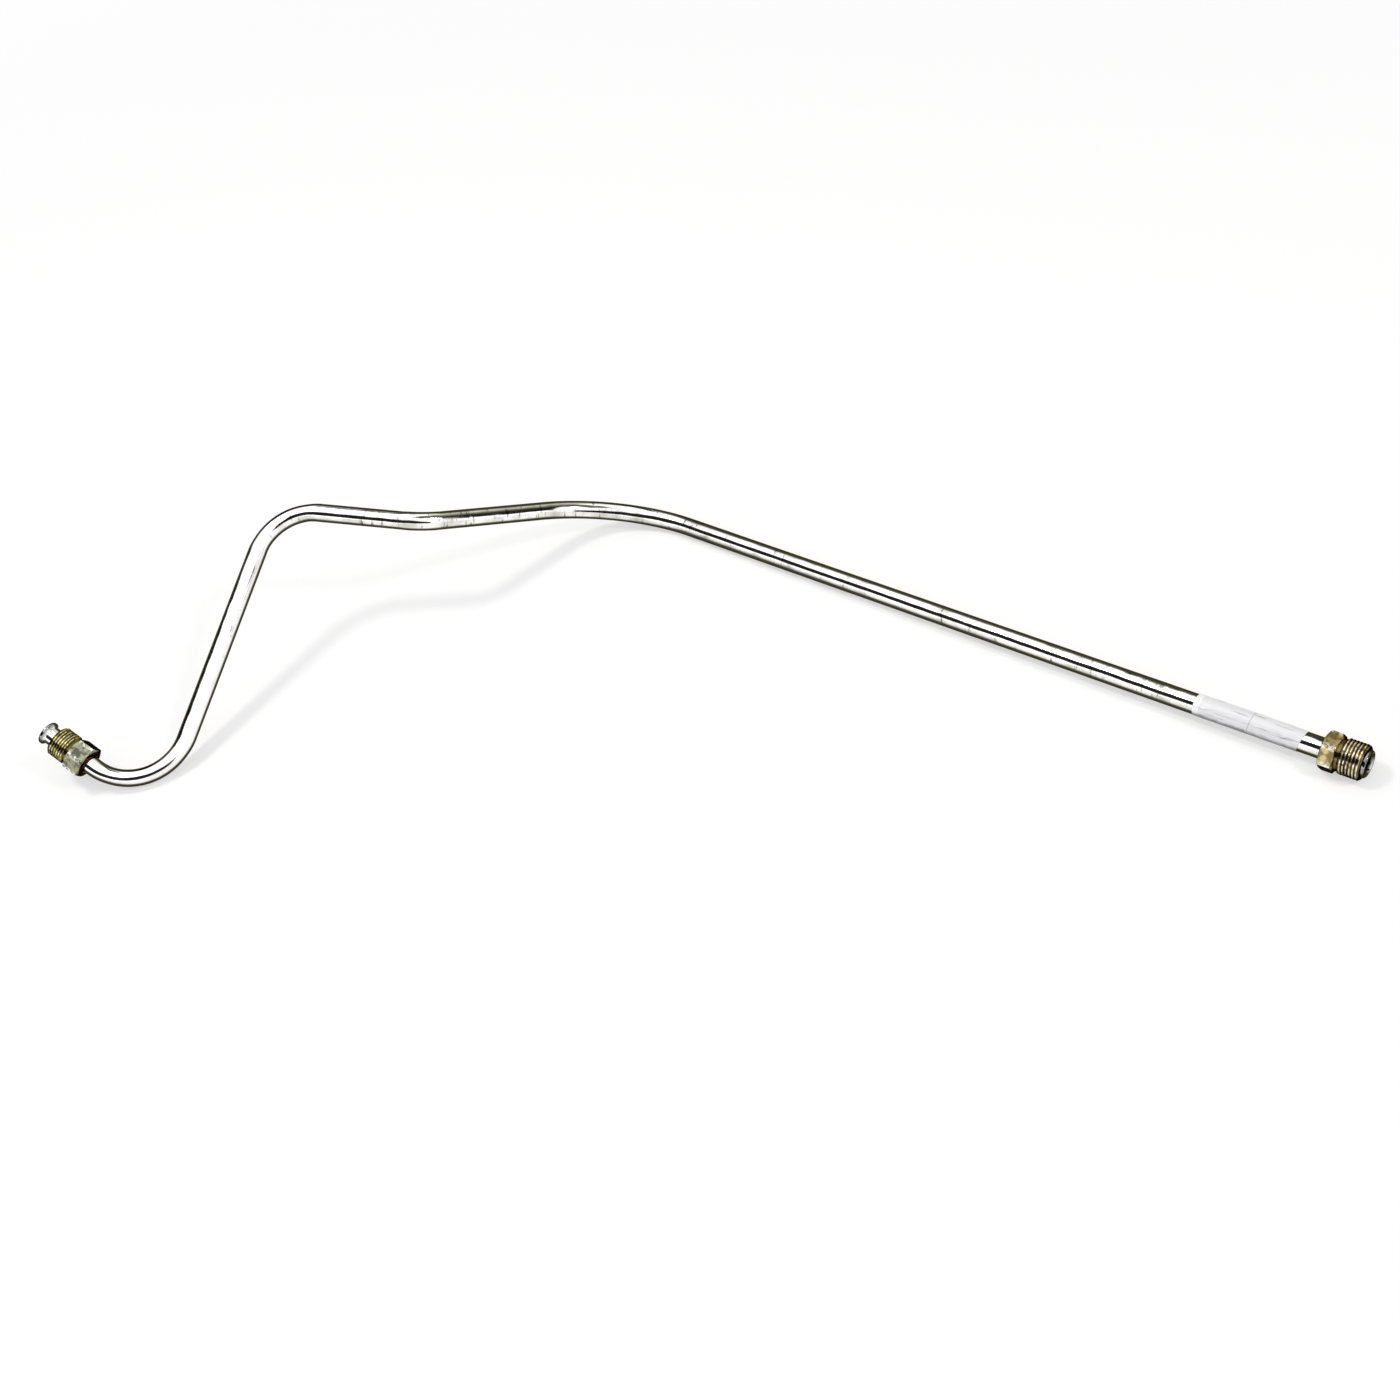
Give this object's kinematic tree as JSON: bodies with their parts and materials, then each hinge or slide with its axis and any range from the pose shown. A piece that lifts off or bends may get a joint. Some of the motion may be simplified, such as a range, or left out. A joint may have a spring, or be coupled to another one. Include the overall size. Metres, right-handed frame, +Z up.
{
  "type": "fuel line",
  "caption": "Preformed metal fuel line: a round tube bent in several planes, with flared ends, captive hexagonal tube nuts and a blank wrap label on its long straight run.",
  "frame": {"origin": "middle of the footprint, on the surface that the line lies on", "axes": "+Z up, +X along the long straight run towards the outlet nut, +Y towards the long run from the bends"},
  "size_m": [0.5574, 0.3056, 0.0709],
  "materials": {
    "bright_steel_tube": "bright drawn steel tube with a thin clear zinc coat, smooth and reflective",
    "yellow_zinc_nut": "turned steel, zinc plated and yellow passivated",
    "label_paper": "white coated label paper, blank"
  },
  "bodies": {
    "tube": {"fuel_tube": "bright_steel_tube", "wrap_label": "label_paper"},
    "outlet_nut": {"outlet_nut": "yellow_zinc_nut"},
    "inlet_nut": {"inlet_nut": "yellow_zinc_nut"}
  },
  "joints": [
    {"name": "outlet_nut_turn", "type": "hinge", "parent": "tube", "child": "outlet_nut", "pos_m": [0.2769, 0.14367, 0.0081], "axis": [1, 0, 0.0091], "continuous": true},
    {"name": "inlet_nut_turn", "type": "hinge", "parent": "tube", "child": "inlet_nut", "pos_m": [-0.26959, -0.14458, 0.02327], "axis": [-0.8783, -0.0745, 0.4722], "continuous": true}
  ]
}
